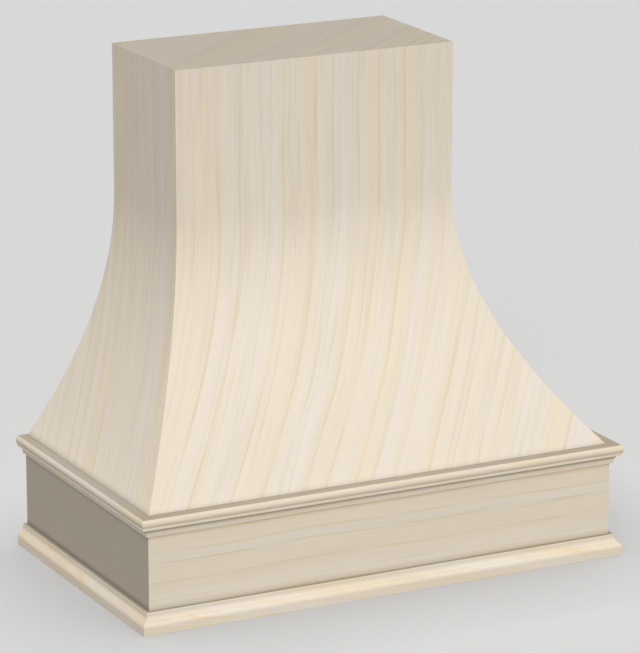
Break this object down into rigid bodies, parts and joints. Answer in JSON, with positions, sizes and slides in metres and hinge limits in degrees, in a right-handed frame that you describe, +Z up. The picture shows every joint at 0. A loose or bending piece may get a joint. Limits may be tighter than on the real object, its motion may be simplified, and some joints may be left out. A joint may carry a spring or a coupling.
{
  "type": "range hood cover",
  "caption": "Wall-mounted wooden range hood cover: a flared chimney on a square apron trimmed with mouldings, open below and behind for a ventilator and its duct.",
  "frame": {"origin": "on the wall plane, midway along the cover, at its lower edge", "axes": "+X to the right along the wall, +Y into the wall (the front faces -Y), +Z up"},
  "size_m": [0.9524, 0.5525, 0.9144],
  "materials": {
    "maple_veneer": "bending plywood faced with pale maple, sanded and unfinished",
    "maple_solid": "solid maple boards and mouldings, sanded and unfinished",
    "maple_plain": "plain unfigured maple boards of the apron's sides, greyer and a shade darker than the rest",
    "birch_plywood": "sanded birch plywood with its plies showing at the edges",
    "pine": "planed pine, unfinished",
    "screw_steel": "zinc-plated steel wood screws"
  },
  "bodies": {
    "root": {"apron_back_rail": "pine", "back_deck_board": "birch_plywood", "back_ledger": "pine", "back_spring_rail": "pine", "block_screws": "screw_steel", "centre_rib": "birch_plywood", "front_apron": "maple_solid", "front_base_moulding": "maple_solid", "front_deck_board": "birch_plywood", "front_ledger": "pine", "front_panel": "maple_veneer", "front_spring_rail": "pine", "front_top_rail": "pine", "front_upper_moulding": "maple_solid", "hanging_rail": "pine", "ledger_screws": "screw_steel", "left_apron": "maple_plain", "left_base_moulding": "maple_solid", "left_deck_board": "birch_plywood", "left_front_corner_block": "pine", "left_front_post": "pine", "left_front_rib": "birch_plywood", "left_hip_rib": "birch_plywood", "left_ledger": "pine", "left_rear_corner_block": "pine", "left_rear_post": "pine", "left_rear_rib": "birch_plywood", "left_side_panel": "maple_veneer", "left_side_rib": "birch_plywood", "left_spring_rail": "pine", "left_top_rail": "pine", "left_upper_moulding": "maple_solid", "rail_screws": "screw_steel", "rib_screws": "screw_steel", "right_apron": "maple_plain", "right_base_moulding": "maple_solid", "right_deck_board": "birch_plywood", "right_front_corner_block": "pine", "right_front_post": "pine", "right_front_rib": "birch_plywood", "right_hip_rib": "birch_plywood", "right_ledger": "pine", "right_rear_corner_block": "pine", "right_rear_post": "pine", "right_rear_rib": "birch_plywood", "right_side_panel": "maple_veneer", "right_side_rib": "birch_plywood", "right_spring_rail": "pine", "right_top_rail": "pine", "right_upper_moulding": "maple_solid", "top_panel": "maple_veneer"}
  },
  "joints": []
}
